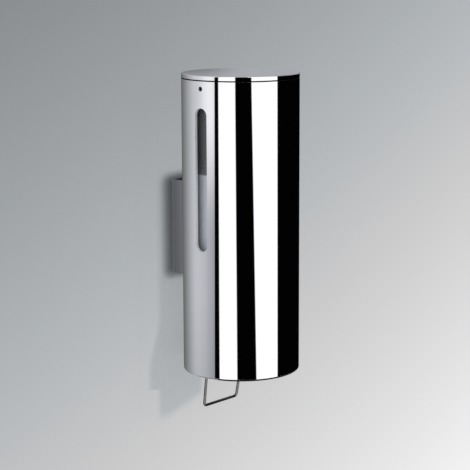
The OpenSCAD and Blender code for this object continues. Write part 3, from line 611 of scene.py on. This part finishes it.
def shadow_share(t, x, side, z):
    """How much of the object's shadow the wall takes: (share, 1 inside the shadow's edge)."""
    foot = SHELL_LOW.z
    width = t.between(z, *ends(foot, SHADOW_NARROWS), *SHADOW_WIDTHS)
    tail = t.between(z, *ends(foot, TAIL_STEP), *TAIL_WIDTHS)
    past = t.minus(side, t.math("MINIMUM", width, tail))
    inside = t.times(t.fall(past, -SHADOW_EDGE, SHADOW_EDGE),
                     t.fall(z, *ends(BRACKET_HIGH.z, SHADOW_TOP)))
    rise = t.between(x, *ends(AXIS_X, END_PLACES), 0.0, END_RISE, smooth=False)
    inside = t.times(inside, t.between(t.minus(z, rise), *ends(foot, SHADOW_END)))
    # Behind the bail's loop the wall takes only the least share of the shadow, like the open wall,
    # and glows with its painted tone.
    loop = t.times(t.between(x, *ends(AXIS_X, LOOP_PLACES)), t.fall(z, *ends(foot, LOOP_UNDER)))
    inside = t.times(inside, t.minus(1.0, loop))
    depth = t.between(z, *ends(foot, DEPTH_HEIGHTS), *SHADOW_DEPTHS)
    return t.math("MULTIPLY_ADD", inside, t.minus(depth, LEAST_DEPTH), LEAST_DEPTH), inside


def wall_paint(t, x, side, z, inside, grain):
    """The wall's colour: a painted light falloff that leaves it darker at the upper left, a
    painted cool tint where it is dark or in the shadow, and a painted shadow darkest round the
    bracket."""
    across = t.between(x, *TONE_ACROSS, *TONE_ACROSS, smooth=False)
    up = t.between(z, *TONE_UP, *TONE_UP, smooth=False)
    middle, per_x, per_z, twist = WALL_TONE
    tone = t.math("MULTIPLY_ADD", across, per_x, middle)
    tone = t.math("MULTIPLY_ADD", up, per_z, tone)
    tone = t.math("MULTIPLY_ADD", t.times(across, up), twist, tone)
    tone = t.plus(tone, t.times(t.minus(grain, 0.5), GRAIN_TONE))
    warm = t.times(t.between(tone, *WARM_TONES), t.between(inside, 0.0, 1.0, 1.0, WARM_IN_SHADOW))
    # Painted shadow on the wall round the bracket block.
    bracket_painted_shadow = round_bracket(t, side, z, PAINTED_SHADOW_ZONE)
    level = t.times(t.math("POWER", tone, SCREEN_POWER),
                    t.between(bracket_painted_shadow, 0.0, 1.0, 1.0, PAINTED_SHADOW_TONE, smooth=False))
    return t.mix(level, grey(0.0), t.mix(warm, COOL, WARM))


def reflected_painted_shade(t, side, z, path):
    """What polished metal sees of the wall: painted shade, as dark glowing zones round the object
    that stand for the shaded wall. Elsewhere it sees the room's panels through the wall."""
    foot = SHELL_LOW.z
    zone = t.times(t.fall(side, *MASK_SIDE), t.between(z, *ends(foot, MASK_LOW)),
                   t.between(z, *ends(LID_TOP, MASK_TOP), 1.0, 0.0, smooth=False))
    deep = t.minus(t.math("MULTIPLY_ADD", side, WIDE_SLOPE, foot + WIDE_TOP), z)
    wide = t.times(t.between(deep, 0.0, WIDE_EDGE), t.fall(side, *WIDE_SIDE),
                   t.between(z, *ends(foot, WIDE_LOW)))
    far = t.math("GREATER_THAN", path["Ray Length"], MASK_NEAREST)
    mask = t.times(t.larger(zone, wide), far)
    colour = t.mix(t.between(z, *ends(foot, MASK_BRIGHTENS)), *[grey(v) for v in MASK_LEVELS])
    patch = t.times(t.between(z, *ends(BRACKET_HIGH.z, PATCH_FROM)),
                    t.fall(z, *ends(BRACKET_HIGH.z, PATCH_TO)), t.fall(side, *PATCH_SIDE))
    # Painted shade seen only in reflections: dark glow, darker still over the bracket block.
    dark = t.emission(colour, t.between(patch, 0.0, 1.0, 1.0, PATCH_LEVEL))
    return t.mix_shaders(mask, t.add("BsdfTransparent").outputs[0], dark)


def see_through_back(t, surface):
    """The surface from its front; nothing from behind."""
    behind = t.add("NewGeometry").outputs["Backfacing"]
    return t.mix_shaders(behind, surface, t.add("BsdfTransparent").outputs[0])


def wall_material():
    """Painted wall, which glows with its painted tone and painted light falloff where it takes no
    light. The lamp's real shadow of the object falls on it softly, in a share set by place, and
    fully beside the bracket."""
    mat, t, shader = material("wall_paint", roughness=0.9)
    x, _, z = t.split()
    side = t.math("ABSOLUTE", t.minus(x, AXIS_X))
    grain = t.noise(0.8, detail=3)
    share, inside = shadow_share(t, x, side, z)
    paint = wall_paint(t, x, side, z, inside, grain)
    t.feed(shader.inputs["Base Color"], paint)
    shader.inputs["Specular IOR Level"].default_value = 0.0
    t.feed(shader.inputs["Normal"], t.bump(grain, 0.05))
    taken = t.larger(round_bracket(t, side, z, NEAR), share)
    # Outside the taken share the wall glows with its painted tone and takes no light or shadow.
    seen = t.mix_shaders(taken, t.emission(paint), shader.outputs[0])
    path = t.add("LightPath").outputs
    surface = t.mix_shaders(path["Is Glossy Ray"], seen, reflected_painted_shade(t, side, z, path))
    return show(mat, t, see_through_back(t, surface))


def floor_material():
    mat, t, shader = material("floor_paint", roughness=0.8)
    t.feed(shader.inputs["Base Color"], t.mix(t.noise(3, detail=4), grey(0.76), grey(0.79)))
    return show(mat, t, see_through_back(t, shader.outputs[0]))


# ---------------------------------------------------------------- room, lamp and camera

ROOM_HALF, ROOM_TOP, ROOM_LOW = 2.6, 1.6, -1.2    # half the wall's width, ceiling and floor
WALL_Y = 0.3 * MM             # just behind the object's back
KEY_PLACE, KEY_SIZE, KEY_POWER = (0.34, -1.50, 0.57), 0.14, 8.0
# The camera's place and target are metres from the frame's origin. They come from fitting the
# object's outline.
CAMERA_PLACE, CAMERA_TARGET = (-0.8374, -0.7828, 0.1998), (-0.0029, -0.0483, -0.00327)
CAMERA_ROLL = -0.23           # degrees
CAMERA_LENS, CAMERA_SENSOR = 118.75, 36.0         # millimetres
CAMERA_RANGE = (0.05, 20.0)


def plane(name, corners, mat):
    """A flat backdrop piece, which takes no part in lighting the object."""
    mesh = bpy.data.meshes.new(name)
    mesh.from_pydata([Vector(c) for c in corners], [], [list(range(len(corners)))])
    mesh.materials.append(mat)
    piece = bpy.data.objects.new(name, mesh)
    SCENE.collection.objects.link(piece)
    for kind in ("diffuse", "shadow", "volume_scatter"):
        setattr(piece, "visible_" + kind, False)
    return piece


def studio_room():
    left, right, front = -ROOM_HALF, ROOM_HALF, -2 * ROOM_HALF
    plane("backdrop_wall", [(left, WALL_Y, ROOM_LOW), (right, WALL_Y, ROOM_LOW),
                            (right, WALL_Y, ROOM_TOP), (left, WALL_Y, ROOM_TOP)], wall_material())
    floor = plane("floor", [(left, front, ROOM_LOW), (right, front, ROOM_LOW),
                            (right, WALL_Y, ROOM_LOW), (left, WALL_Y, ROOM_LOW)], floor_material())
    floor.visible_glossy = False


def aim(thing, target):
    thing.rotation_mode = "QUATERNION"
    thing.rotation_quaternion = (Vector(target) - thing.location).to_track_quat("-Z", "Y")


def key_lamp():
    """Soft lamp from the front right, above. Polished metal and the camera don't see it."""
    light = bpy.data.lights.new("key", "AREA")
    light.shape = "SQUARE"
    light.size = KEY_SIZE
    light.energy = KEY_POWER
    lamp = bpy.data.objects.new("key", light)
    lamp.location = KEY_PLACE
    SCENE.collection.objects.link(lamp)
    aim(lamp, (AXIS_X, AXIS_Y, 0.0))
    lamp.visible_glossy = False
    lamp.visible_camera = False


def camera():
    """Long lens from the front left, a little above, as the object is seen."""
    data = bpy.data.cameras.new("camera")
    data.sensor_width = CAMERA_SENSOR
    data.lens = CAMERA_LENS
    data.clip_start, data.clip_end = CAMERA_RANGE
    view = bpy.data.objects.new("camera", data)
    SCENE.collection.objects.link(view)
    view.location = CAMERA_PLACE
    aim(view, CAMERA_TARGET)
    roll = Matrix.Rotation(math.radians(CAMERA_ROLL), 4, "Z").to_quaternion()
    view.rotation_quaternion = view.rotation_quaternion @ roll
    SCENE.camera = view


SCENE.view_settings.view_transform = "Standard"
dress_nodes()
studio_world()
studio_room()
key_lamp()
camera()
